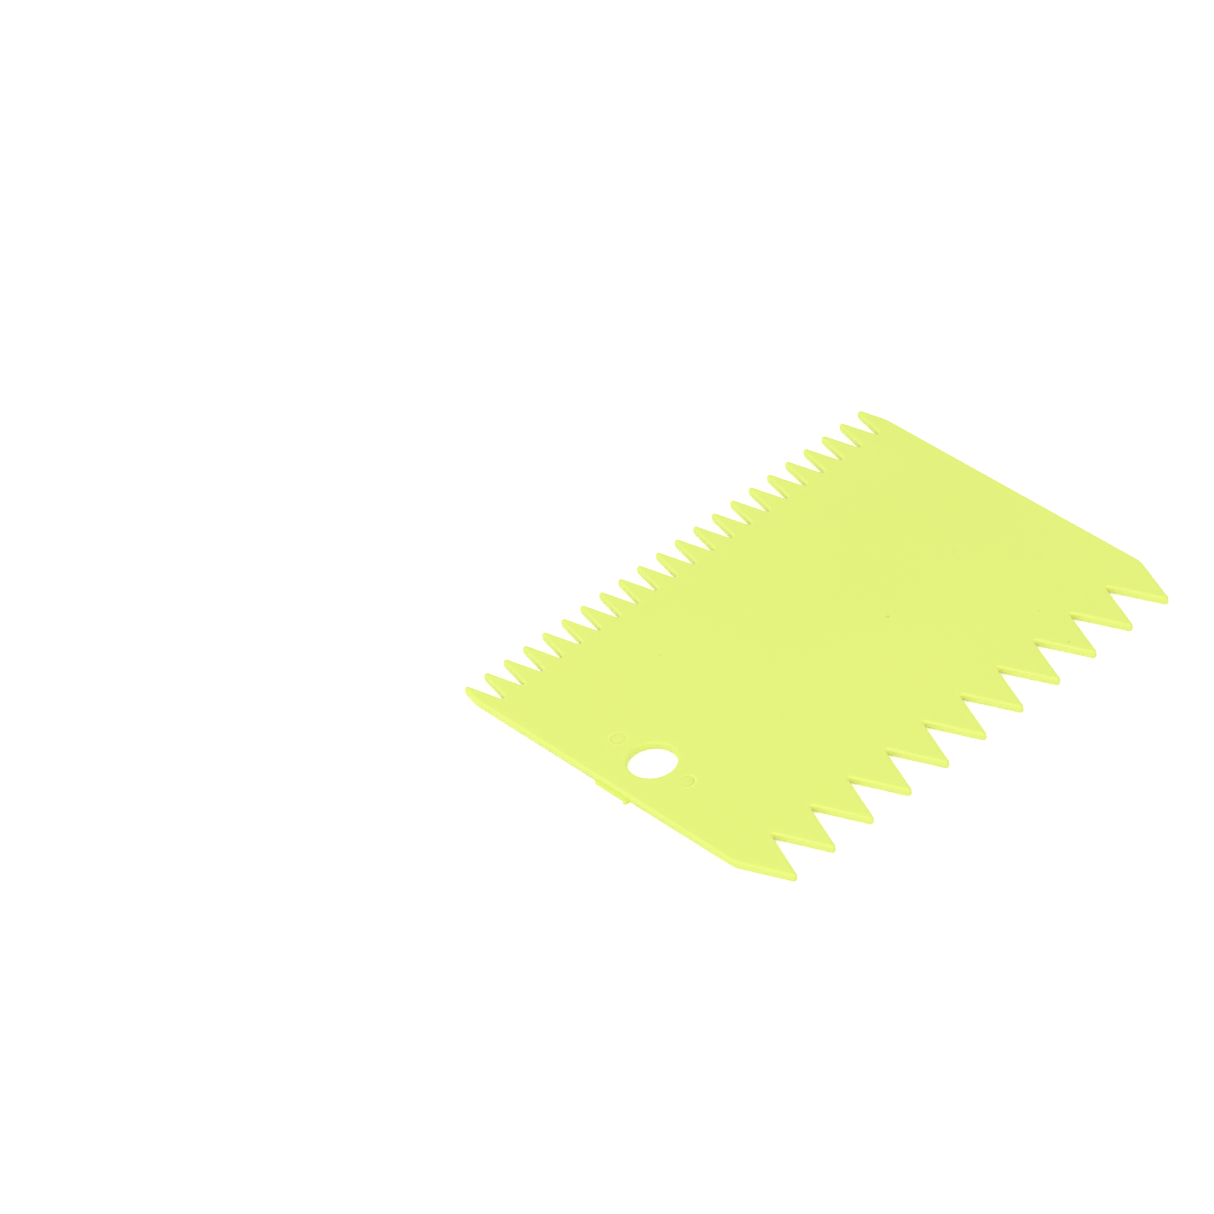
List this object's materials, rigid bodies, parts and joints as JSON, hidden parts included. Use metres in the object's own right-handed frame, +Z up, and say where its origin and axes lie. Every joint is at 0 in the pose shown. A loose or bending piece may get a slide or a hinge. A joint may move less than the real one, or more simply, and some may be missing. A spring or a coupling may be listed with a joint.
{
  "type": "cake scraper",
  "caption": "Thin flat plastic plate for combing and smoothing icing, with coarse pointed teeth on one long side, fine teeth on the other and a round hanging hole near one short side.",
  "frame": {"origin": "middle of the whole length and width, at the underside", "axes": "+X along the toothed sides, away from the hanging hole; +Y towards the fine teeth; +Z up, out of the upper face"},
  "size_m": [0.121, 0.0938, 0.002],
  "materials": {
    "lime_plastic": "satin, slightly translucent"
  },
  "bodies": {
    "root": {"scraper": "lime_plastic"}
  },
  "joints": []
}
